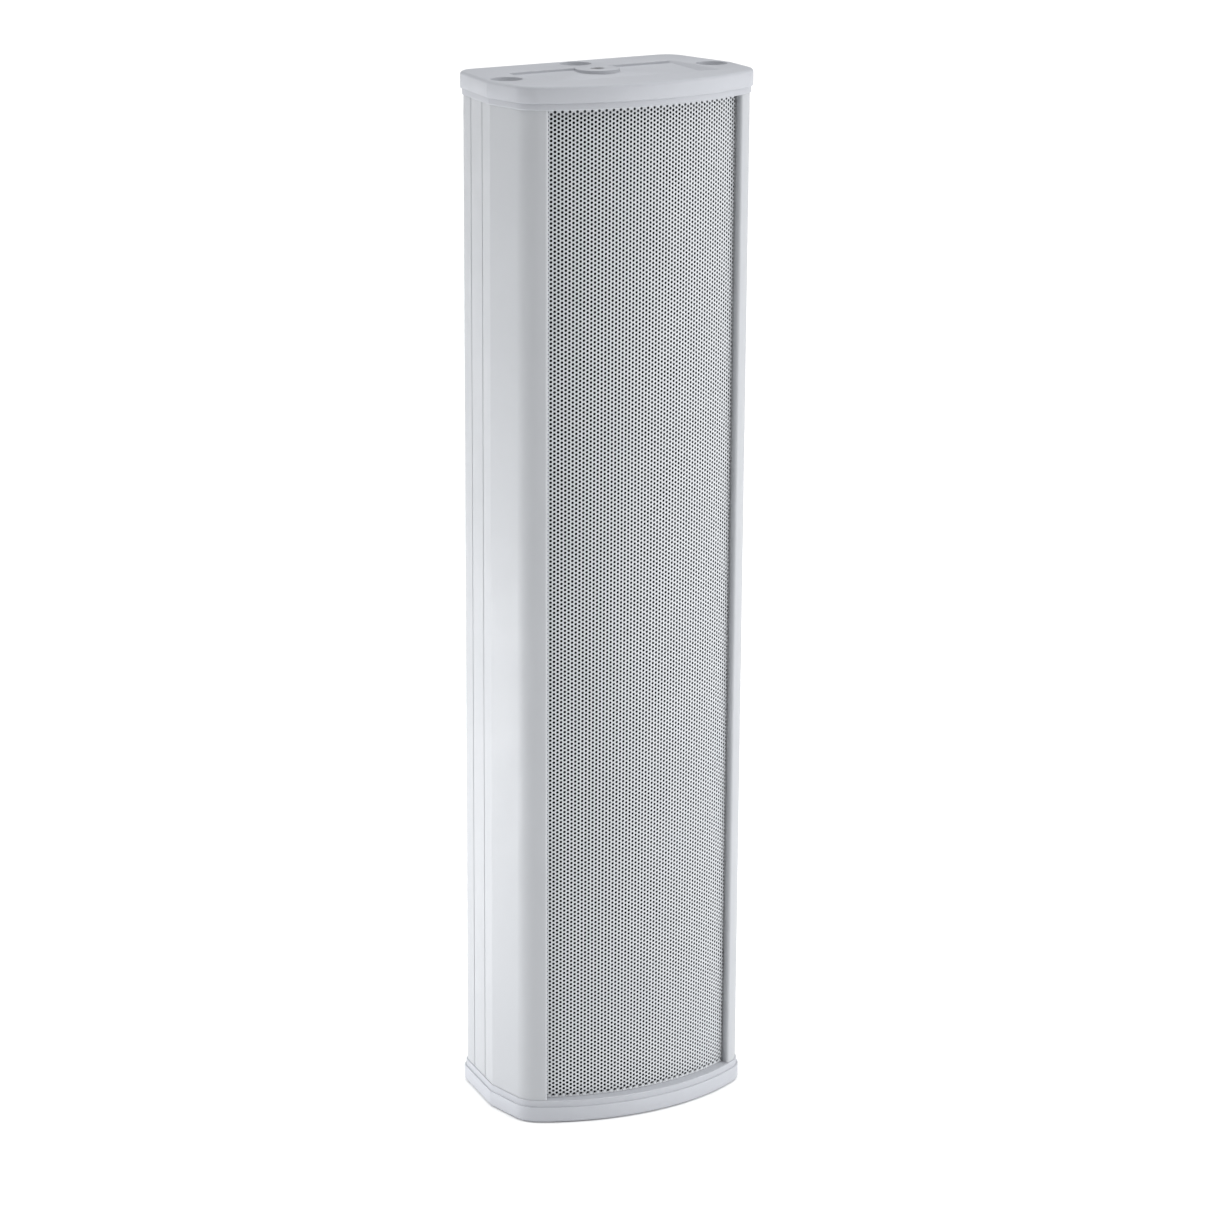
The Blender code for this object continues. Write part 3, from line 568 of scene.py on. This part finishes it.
def cap_mesh():
    """One end cap with its outer face at z = 0 and its body below."""
    sketch = Sketch()

    def outline(out, plan=BODY):
        return mirrored(plan.half(out))

    rounding = []
    for i in range(7):
        a = math.radians(90 * i / 6)
        out = RIM_OUT - RIM_ROUND + RIM_ROUND * math.sin(a)
        rounding.append((outline(out), -RIM_ROUND + RIM_ROUND * math.cos(a)))
    soft = 0.25 * MM
    plug = -COLLAR_HEIGHT - PLUG_DEPTH
    levels = rounding + [
        (outline(RIM_OUT), -RIM_HEIGHT + soft),
        (outline(RIM_OUT - soft * 0.3), -RIM_HEIGHT + soft * 0.3),
        (outline(RIM_OUT - soft), -RIM_HEIGHT),
        (outline(COLLAR_OUT), -RIM_HEIGHT),
        (outline(COLLAR_OUT), -COLLAR_HEIGHT + soft),
        (outline(COLLAR_OUT - soft), -COLLAR_HEIGHT),
        (outline(PLUG_OUT - PLUG_WALL, OPENING), -COLLAR_HEIGHT),
        (outline(PLUG_OUT - PLUG_WALL, OPENING), -CAP_PLATE),
    ]
    top, under = sketch.stack(levels)
    prism(sketch, plug_loop(), plug, -COLLAR_HEIGHT + 1 * MM)
    seat = circle((0, PIVOT_Y), PIVOT_SEAT)
    bore = circle((0, PIVOT_Y), PIVOT_BORE)
    openings, under_holes = [], []
    for at in WELLS.values():
        r = WELL_RADIUS
        rings = [
            (circle(at, r + 0.45 * MM), 0.0), (circle(at, r + 0.16 * MM), -0.08 * MM),
            (circle(at, r), -0.4 * MM), (circle(at, r), -WELL_DEPTH + 0.35 * MM),
            (circle(at, r - 0.12 * MM), -WELL_DEPTH + 0.1 * MM),
            (circle(at, r - 0.4 * MM), -WELL_DEPTH),
            (circle(at, SCREW_HOLE), -WELL_DEPTH), (circle(at, SCREW_HOLE), -CAP_PLATE),
        ]
        first, last = sketch.stack(rings)
        openings.append(first)
        if at[0] == 0:
            under_holes.append(last)
    loops = [
        (pocket_loop(-0.4 * MM, POCKET_FLARE), 0.0),
        (pocket_loop(-0.12 * MM, POCKET_FLARE), -0.08 * MM),
        (pocket_loop(0, POCKET_FLARE * 0.92), -0.3 * MM),
        (pocket_loop(0, POCKET_FLARE * 0.1), lambda x, y: pocket_floor(x, y) + 0.5 * MM),
        (pocket_loop(0.15 * MM), lambda x, y: pocket_floor(x, y) + 0.14 * MM),
        (pocket_loop(0.5 * MM), pocket_floor),
    ]
    first, last = sketch.stack(loops)
    openings.append(first)
    sketch.fill(last)
    mouth = circle((0, PIVOT_Y), PIVOT_MOUTH)
    hole = [
        (circle((0, PIVOT_Y), PIVOT_MOUTH + 0.4 * MM), 0.0),
        (circle((0, PIVOT_Y), PIVOT_MOUTH + 0.1 * MM), -0.1 * MM),
        (mouth, -0.4 * MM), (mouth, -PIVOT_STEP), (bore, -PIVOT_STEP), (bore, -PIVOT_DEPTH),
        (seat, -PIVOT_DEPTH), (seat, -CAP_PLATE),
    ]
    first, last = sketch.stack(hole)
    openings.append(first)
    sketch.fill(top, *openings)
    sketch.fill(under, last, *under_holes)
    mesh = bpy.data.meshes.new("cap")
    mesh.from_pydata(sketch.verts, [], sketch.faces)
    finish_mesh(mesh, 40)
    return mesh


def plug_loop():
    """The plan of the wall that goes into the extrusion, open towards the front."""
    outer = [(x, y) for x, y in OPENING.half(PLUG_OUT) if y > PLUG_FRONT]
    inner = [(x, y) for x, y in OPENING.half(PLUG_OUT - PLUG_WALL) if y > PLUG_FRONT]
    right = outer + inner[::-1]
    return right[:-1] + [(-x, y) for x, y in reversed(right[1:])]


def screw_mesh():
    """A pan-head screw with a cross recess, its seat at z = 0."""
    head = mm_points(
        (0, 1.3), (1.2, 1.28), (2.2, 1.18), (2.95, 0.95), (3.4, 0.62), (3.6, 0.3), (3.6, 0.1),
        (3.5, 0), (1.45, 0), (1.45, -14.5), (0.6, -16.2), (0, -16.5)
    )
    mesh = turned("screw", head, 40, closed=False)
    obj = bpy.data.objects.new("screw", mesh)
    bpy.context.scene.collection.objects.link(obj)
    for turn in (0, 1):
        cross = Sketch()
        top = [(-2.1, -0.42), (2.1, -0.42), (2.1, 0.42), (-2.1, 0.42)]
        deep = [(-0.8, -0.3), (0.8, -0.3), (0.8, 0.3), (-0.8, 0.3)]
        if turn:
            top, deep = ([(y, x) for x, y in shape] for shape in (top, deep))
        first, last = cross.stack([(mm_points(*top), 1.5 * MM), (mm_points(*deep), 0.2 * MM)])
        cross.fill(first)
        cross.fill(last)
        cutter = make(f"cross_{turn}", cross.verts, cross.faces)
        obj = subtract(obj, cutter)
    mesh = obj.data
    bpy.data.objects.remove(obj)
    return mesh


def end_caps():
    cap, screw = cap_mesh(), screw_mesh()
    sleeve = mm_points(
        (4.4, -3), (4.1, -2.7), (3.25, -2.7), (2.95, -3), (2.95, -10.5), (4.4, -10.5)
    )
    insert = turned("insert", sleeve, 48)
    for end, height, flip in (("top", HEIGHT, 0.0), ("bottom", 0.0, math.pi)):
        turn = Matrix.Rotation(flip, 4, "Y")
        place = Matrix.Translation((0, 0, height)) @ turn
        add(f"{end}_cap_moulding", cap, MATERIALS["cap"], stands_for=[f"{end}_cap"],
            at=place)
        add(f"{end}_insert", insert, MATERIALS["brass"], stands_for=[f"{end}_pivot_insert"],
            at=place @ Matrix.Translation((0, PIVOT_Y, 0)))
        for side, (x, y) in WELLS.items():
            sunk = Matrix.Translation((0, 0, -WELL_DEPTH + 0.02 * MM))
            spot = Matrix.Translation((x, y, 0)) @ turn @ sunk
            driven = Matrix.Rotation(0.4 + x * 40, 4, "Z")
            add(f"{end}_screw_{side}_pan_head", screw, MATERIALS["screw"],
                stands_for=[f"{end}_screw_{side}"],
                at=Matrix.Translation((0, 0, height)) @ spot @ driven)


# Grille ---------------------------------------------------------------------------------------


def grille():
    """The perforated sheet, in three bands, as cells of eight faces round each hole."""
    px, pz = HOLE_PITCH * math.sqrt(3) / 2, HOLE_PITCH
    columns, rows = 30, 120
    centre_y = GRILLE_RADIUS + GRILLE_BACK - DEPTH / 2
    edge = np.array([(0, -1), (1, -1), (1, 0), (1, 1), (0, 1), (-1, 1), (-1, 0), (-1, -1)], float)
    edge *= (px / 2, pz / 2)
    angles = np.radians([-90, -45, 0, 45, 90, 135, 180, 225])
    ring = np.stack([np.cos(angles), np.sin(angles)], 1) * HOLE_RADIUS
    centres = []
    for c in range(-columns, columns + 1):
        odd = c % 2
        for r in range(-rows, rows + 1 - odd):
            centres.append((c * px, HEIGHT / 2 + (r + 0.5 * odd) * pz))
    centres = np.array(centres)
    bands = 3
    limits = np.linspace(-1e-6, HEIGHT + 1e-6, bands + 1)
    limits[1:-1] = [HEIGHT / 2 + side * MIDDLE_BAND_HALF - BAND_SHIFT for side in (-1, 1)]

    def curved(points, depth):
        a = points[..., 0] / GRILLE_RADIUS
        r = GRILLE_RADIUS - depth
        return np.stack([r * np.sin(a), centre_y - r * np.cos(a), points[..., 1]], -1)

    for band in range(bands):
        low, high = limits[band], limits[band + 1]
        chosen = centres[(centres[:, 1] > low) & (centres[:, 1] <= high)]
        outer = curved(chosen[:, None] + edge, 0)
        front = curved(chosen[:, None] + ring, 0)
        back = curved(chosen[:, None] + ring, GRILLE_SHEET)
        verts = np.concatenate([outer, front, back], 1).reshape(-1, 3)
        base = np.arange(len(chosen)) * 24
        faces = []
        for i in range(8):
            j = (i + 1) % 8
            faces.append(np.stack([base + i, base + j, base + 8 + j, base + 8 + i], 1))
            faces.append(np.stack([base + 8 + i, base + 8 + j, base + 16 + j, base + 16 + i], 1))
        faces = np.concatenate(faces).tolist()
        verts = verts.tolist()
        borders(verts, faces, curved, px, pz, columns, rows, low, high)
        name = f"grille_sheet_{band + 1}"
        obj = quick_mesh(name, verts, faces)
        settle(obj, MATERIALS["grille"], "cabinet", ["grille"])


def borders(verts, faces, curved, px, pz, columns, rows, low, high):
    """Plain strips down both edges, and the half cells at the sheet's ends."""
    side = (columns + 0.5) * px
    rim = GRILLE_RIM
    ends = [HEIGHT / 2 - GRILLE_END, HEIGHT / 2 + GRILLE_END]
    z0, z1 = max(low, ends[0]), min(high, ends[1])
    quads = [
        ((-rim, z0), (-side, z0), (-side, z1), (-rim, z1)),
        ((side, z0), (rim, z0), (rim, z1), (side, z1)),
    ]
    for end in ends:
        if low <= end <= high:
            for c in range(-columns, columns + 1):
                last = (rows if c % 2 else rows + 0.5) * pz
                inner = HEIGHT / 2 + math.copysign(last, end - HEIGHT / 2)
                left, right = c * px - px / 2, c * px + px / 2
                quads.append(((left, inner), (right, inner), (right, end), (left, end)))
    for quad in quads:
        start = len(verts)
        verts.extend(curved(np.array(quad), 0).tolist())
        faces.append([start, start + 1, start + 2, start + 3])


def quick_mesh(name, verts, faces):
    mesh = bpy.data.meshes.new(name)
    mesh.from_pydata(verts, [], faces)
    shape = bmesh.new()
    shape.from_mesh(mesh)
    bmesh.ops.remove_doubles(shape, verts=shape.verts, dist=2e-6)
    shape.normal_update()
    shape.to_mesh(mesh)
    shape.free()
    mesh.shade_smooth()
    mesh.set_sharp_from_angle(angle=math.radians(40))
    obj = bpy.data.objects.new(name, mesh)
    bpy.context.scene.collection.objects.link(obj)
    return obj


def cloth():
    """The acoustic cloth, stretched behind the grille."""
    radius = GRILLE_RADIUS - CLOTH_BACK
    centre_y = GRILLE_RADIUS + GRILLE_BACK - DEPTH / 2
    spread = math.asin(50.1 * MM / radius)
    length = 476 * MM
    across, along = 40, 120
    verts, faces = [], []
    for j in range(along + 1):
        z = HEIGHT / 2 + (j / along - 0.5) * length
        for i in range(across + 1):
            a = (2 * i / across - 1) * spread
            slack = 0.00006 * math.sin(j * 0.9) * math.sin(i * 0.7)
            r = radius - slack
            verts.append((r * math.sin(a), centre_y - r * math.cos(a), z))
    for j in range(along):
        for i in range(across):
            a = j * (across + 1) + i
            faces.append((a, a + 1, a + across + 2, a + across + 1))
    obj = make("acoustic_cloth", verts, faces, 60)
    settle(obj, MATERIALS["cloth"], "cabinet", ["grille_cloth"])


# Inside ---------------------------------------------------------------------------------------

DRIVER_PROFILES = {
    "top_plate": mm_points(
        (32, -23.7), (31.8, -23.5), (13.7, -23.5), (13.5, -23.7), (13.5, -28.5), (31.8, -28.5),
        (32, -28.3)
    ),
    "magnet": mm_points(
        (35, -29.4), (34.4, -28.8), (17.4, -28.8), (17, -29.2), (17, -37.4), (17.4, -37.8),
        (34.4, -37.8), (35, -37.2)
    ),
    "voice_coil": mm_points((13.05, -13.2), (13.05, -31), (12.7, -31), (12.7, -13.2)),
    "spider": mm_points(
        (31.9, -16.2), (31.9, -16.9), (29, -16.9), (27.4, -17.6), (25.8, -18.3), (24.2, -17.6),
        (22.6, -16.8), (21, -17.6), (19.4, -18.3), (17.8, -17.6), (16.2, -16.9), (14.6, -16.9),
        (13.4, -15.2), (13.4, -14.6), (13.9, -14.6), (14.9, -16.2), (16.2, -16.4), (17.8, -17.1),
        (19.4, -17.8), (21, -17.1), (22.6, -16.3), (24.2, -17.1), (25.8, -17.8), (27.4, -17.1), (29, -16.4)
    ),
    "surround": mm_points(
        (47.2, 2.5), (47.2, 1.8), (46.3, 1.8), (45.6, 3.0), (44.6, 3.8), (43.6, 3.7), (42.9, 3.0),
        (42.5, 2.2), (42.3, 1.0), (41.7, 0.4), (41.7, 1.9), (42.0, 2.9), (42.6, 3.8), (43.5, 4.5),
        (44.7, 4.6), (45.8, 4.0), (46.4, 3.0), (46.6, 2.6)
    ),
    "cone": mm_points(
        (41.3, 1.4), (41.3, 0.8), (39.9, 0.6), (33, -2.7), (24, -7.8), (14.2, -13.9), (13.4, -13.9),
        (13.4, -13), (23.6, -7.1), (32.8, -2.0), (39.4, 1.4)
    ),
}
YOKE_PROFILE = mm_points(
    (0, -23.8), (11.8, -23.8), (12.2, -24.2), (12.2, -38.1), (31.5, -38.1), (32, -38.6),
    (32, -41.9), (31.5, -42.4), (0, -42.4)
)
DUST_CAP_PROFILE = mm_points(
    (0, -4.8), (3.6, -5.1), (7, -6), (10, -7.3), (12.4, -8.8), (15.4, -11), (14.8, -11.4),
    (12, -9.4), (9.6, -7.9), (6.8, -6.7), (3.4, -5.8), (0, -5.5)
)
BASKET_PROFILE = mm_points(
    (50.5, 1.2), (50.2, 1.5), (44, 1.5), (44, -4.2), (32.3, -17.2), (29, -17.2), (29, -22), (14, -22),
    (14, -23.2), (30.5, -23.2), (30.5, -21.8), (45.2, -5), (45.8, 0.3), (50.5, 0.3)
)
DRIVER_LOOKS = {
    "basket": ("steel", "zinc_steel"),
    "top_plate": ("steel", "zinc_steel"),
    "magnet": ("ferrite", "ferrite"),
    "yoke": ("steel", "zinc_steel"),
    "voice_coil": ("copper", "copper_wire"),
    "spider": ("spider", "treated_cloth"),
    "surround": ("rubber", "black_rubber"),
    "cone": ("cone", "black_paper"),
    "dust_cap": ("cone", "black_paper"),
}


def basket_mesh():
    obj = bpy.data.objects.new("basket", turned("basket", BASKET_PROFILE, 64))
    bpy.context.scene.collection.objects.link(obj)
    for i in range(2):
        corners = [(-60, -9), (60, -9), (60, 9), (-60, 9)]
        window = Sketch()
        prism(window, [(x * MM, y * MM) for x, y in corners], -15.5 * MM, -6.5 * MM)
        cutter = make("window", window.verts, window.faces)
        cutter.rotation_euler = (0, 0, math.radians(45 + 90 * i))
        obj = subtract(obj, cutter)
    mesh = obj.data
    bpy.data.objects.remove(obj)
    return mesh


def drivers():
    meshes = {name: turned(name, profile, 64) for name, profile in DRIVER_PROFILES.items()}
    meshes["yoke"] = turned("yoke", YOKE_PROFILE, 64, closed=False)
    meshes["dust_cap"] = turned("dust_cap", DUST_CAP_PROFILE, 64, closed=False)
    meshes["basket"] = basket_mesh()
    moving = ("cone", "dust_cap", "voice_coil")
    for number, z in enumerate(DRIVER_HEIGHTS, start=1):
        place = Matrix.Translation((0, DRIVER_FACE, z)) @ Matrix.Rotation(math.pi / 2, 4, "X")
        for name, mesh in meshes.items():
            look, slot = DRIVER_LOOKS[name]
            body = f"diaphragm_{number}" if name in moving else "cabinet"
            if name in ("surround", "spider"):
                body = None
            piece = add(f"driver_{number}_{name}_part", mesh, MATERIALS[look], body,
                        [f"driver_{number}_{name}"], place)
            if name in ("surround", "spider"):
                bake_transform(piece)


def rounded_block(name, low, high, radius):
    """A soft block with rounded edges."""
    xs, ys, zs = zip(low, high)
    verts = [(x, y, z) for x in xs for y in ys for z in zs]
    faces = [(0, 1, 3, 2), (4, 6, 7, 5), (0, 4, 5, 1), (2, 3, 7, 6), (0, 2, 6, 4), (1, 5, 7, 3)]
    obj = make(name, verts, faces)
    bevel = obj.modifiers.new("round", "BEVEL")
    bevel.width = radius
    bevel.segments = 3
    bpy.context.view_layer.update()
    graph = bpy.context.evaluated_depsgraph_get()
    obj.data = bpy.data.meshes.new_from_object(obj.evaluated_get(graph))
    obj.modifiers.clear()
    return obj


def seals():
    """Foam strips between the caps and the ends of the baffle, pinched a little in the middle."""
    for end in ("top", "bottom"):
        low, high = (Vector(v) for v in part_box(f"{end}_seal"))
        obj = rounded_block(f"{end}_foam_strip", low, high, 0.8 * MM)
        divide = obj.modifiers.new("divide", "REMESH")
        divide.mode = "VOXEL"
        divide.voxel_size = 1.4 * MM
        graph = bpy.context.evaluated_depsgraph_get()
        bpy.context.view_layer.update()
        mesh = bpy.data.meshes.new_from_object(obj.evaluated_get(graph))
        obj.modifiers.clear()
        obj.data = mesh
        middle = (low + high) / 2
        half = (high - low) / 2
        for v in mesh.vertices:
            lift = 1 - ((v.co.z - middle.z) / half.z) ** 2
            wave = 0.25 * MM * math.sin(v.co.x * 160)
            v.co.y = middle.y + (v.co.y - middle.y) * (0.9 + 0.08 * lift) + wave * lift
        mesh.shade_smooth()
        settle(obj, MATERIALS["foam"], "cabinet", [f"{end}_seal"])


def damping():
    """The felt pad, puffed by a short cloth simulation."""
    low, high = (Vector(v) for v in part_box("damping_pad"))
    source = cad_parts["damping_pad"]
    obj = bpy.data.objects.new("felt_pad", source.data.copy())
    bpy.context.scene.collection.objects.link(obj)
    middle = (low + high) / 2
    shrink = Matrix.Diagonal((0.96, 0.86, 0.985, 1))
    obj.data.transform(Matrix.Translation(middle) @ shrink @ Matrix.Translation(-middle))
    remesh = obj.modifiers.new("remesh", "REMESH")
    remesh.mode = "VOXEL"
    remesh.voxel_size = 4 * MM
    bpy.context.view_layer.update()
    graph = bpy.context.evaluated_depsgraph_get()
    obj.data = bpy.data.meshes.new_from_object(obj.evaluated_get(graph))
    obj.modifiers.clear()
    before = np.array([v.co for v in obj.data.vertices])
    puff(obj)
    after = np.array([v.co for v in obj.data.vertices])
    move = after - before
    length = np.linalg.norm(move, axis=1, keepdims=True)
    move *= np.minimum(1, 1.4 * MM / np.maximum(length, 1e-9))
    after = np.clip(before + move, np.array(low), np.array(high))
    obj.data.vertices.foreach_set("co", after.ravel())
    smooth = obj.modifiers.new("round", "SUBSURF")
    smooth.levels = smooth.render_levels = 1
    obj.data.shade_smooth()
    settle(obj, MATERIALS["felt"], "cabinet", ["damping_pad"])


def puff(obj):
    cloth_modifier = obj.modifiers.new("cloth", "CLOTH")
    settings = cloth_modifier.settings
    settings.use_pressure = True
    settings.uniform_pressure_force = 2
    settings.quality = 5
    settings.effector_weights.gravity = 0
    scene = bpy.context.scene
    for number in range(1, 16):
        scene.frame_set(number)
    graph = bpy.context.evaluated_depsgraph_get()
    mesh = bpy.data.meshes.new_from_object(obj.evaluated_get(graph))
    obj.modifiers.clear()
    obj.data = mesh
    scene.frame_set(1)


def grommet():
    profile = mm_points(
        (7.2, 1.3), (7.9, 1.0), (8.2, 0.5), (8.2, 0.15), (6.1, 0.15), (6.1, -1.95), (8.2, -1.95),
        (8.2, -3.0), (7.8, -3.4), (3.1, -3.4), (2.7, -3.0), (2.7, 0.9), (3.1, 1.3)
    )
    mesh = turned("grommet", profile, 56)
    outlet = Matrix.Translation((CABLE_OUTLET[0], REAR_Y, CABLE_OUTLET[1]))
    add("cable_gland_ring", mesh, MATERIALS["rubber"], stands_for=["cable_grommet"],
        at=outlet @ Matrix.Rotation(-math.pi / 2, 4, "X"))


def carried_over():
    looks = {
        "baffle": "board", "transformer_core": "steel", "transformer_coil": "tape",
        "transformer_bracket": "screw", "terminal_block": "tape",
    }
    for node, look in looks.items():
        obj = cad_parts[node]
        for i in range(max(1, len(obj.material_slots))):
            if len(obj.material_slots) == 0:
                obj.data.materials.append(MATERIALS[look])
            obj.material_slots[i].material = MATERIALS[look]


# Camera, floor and lights ---------------------------------------------------------------------


def camera():
    yaw, pitch, roll = (math.radians(v) for v in (-27.438, -16.337, -0.593))
    level = math.cos(pitch)
    forward = Vector((math.sin(-yaw) * level, math.cos(yaw) * level, math.sin(pitch)))
    right = forward.cross(Vector((0, 0, 1))).normalized()
    up = right.cross(forward)
    right, up = (
        math.cos(roll) * right + math.sin(roll) * up,
        -math.sin(roll) * right + math.cos(roll) * up,
    )
    data = bpy.data.cameras.new("camera")
    data.sensor_width = 36
    data.lens = 117.20
    data.shift_x, data.shift_y = 0.1787, 0.0865
    data.clip_end = 50
    obj = bpy.data.objects.new("camera", data)
    rotation = Matrix((right, up, -forward)).transposed().to_4x4()
    obj.matrix_world = Matrix.Translation((-0.94803, -1.59421, 0.73760)) @ rotation
    bpy.context.scene.collection.objects.link(obj)
    bpy.context.scene.camera = obj


def area(name, place, target, size, power):
    data = bpy.data.lights.new(name, "AREA")
    data.shape = "RECTANGLE"
    data.size, data.size_y = size
    data.energy = power
    obj = bpy.data.objects.new(name, data)
    obj.visible_camera = False
    obj.location = place
    obj.rotation_euler = (Vector(target) - Vector(place)).to_track_quat("-Z", "Y").to_euler()
    bpy.context.scene.collection.objects.link(obj)


def sky():
    """Light that is strong from above and weak from the sides, like one large soft box."""
    horizon, overhead = 0.06, 1.85
    world = bpy.data.worlds.new("studio")
    world.use_nodes = True
    tree = world.node_tree
    direction = tree.nodes.new("ShaderNodeTexCoord").outputs["Generated"]
    split = tree.nodes.new("ShaderNodeSeparateXYZ")
    rise = tree.nodes.new("ShaderNodeMapRange")
    rise.interpolation_type = "SMOOTHSTEP"
    for socket, value in zip(rise.inputs[1:5], (0.35, 0.8, horizon, overhead)):
        socket.default_value = value
    tree.links.new(direction, split.inputs[0])
    tree.links.new(split.outputs["Z"], rise.inputs["Value"])
    background = tree.nodes["Background"]
    background.inputs["Color"].default_value = (1, 1, 1, 1)
    tree.links.new(rise.outputs["Result"], background.inputs["Strength"])
    return world


def studio():
    floor = make("floor", [(-6, -6, 0), (6, -6, 0), (6, 6, 0), (-6, 6, 0)], [(0, 1, 2, 3)])
    floor.location.z = -0.0002
    look = Nodes("floor_paper", 0.9)
    look.colour(look.ramp(look.noise(4), (0.3, (0.90, 0.90, 0.90)), (0.7, (0.92, 0.92, 0.92))))
    floor.data.materials.append(look.material)
    bpy.context.scene.world = sky()
    middle = (0, 0, 0.25)
    area("left", (-0.85, 1.45, 0.45), middle, (1.0, 1.2), 5)
    area("left_low", (-0.5, 0.3, 0.06), (0, 0, 0.03), (0.5, 0.12), 2.6)
    area("front_low", (0.4, -0.75, 0.07), (0, 0, 0.0), (0.6, 0.15), 2.4)
    area("right", (1.35, -0.85, 0.6), middle, (1.0, 1.4), 15)
    bpy.context.scene.view_settings.view_transform = "Standard"


housing()
end_caps()
grille()
cloth()
drivers()
seals()
damping()
grommet()
carried_over()
camera()
studio()
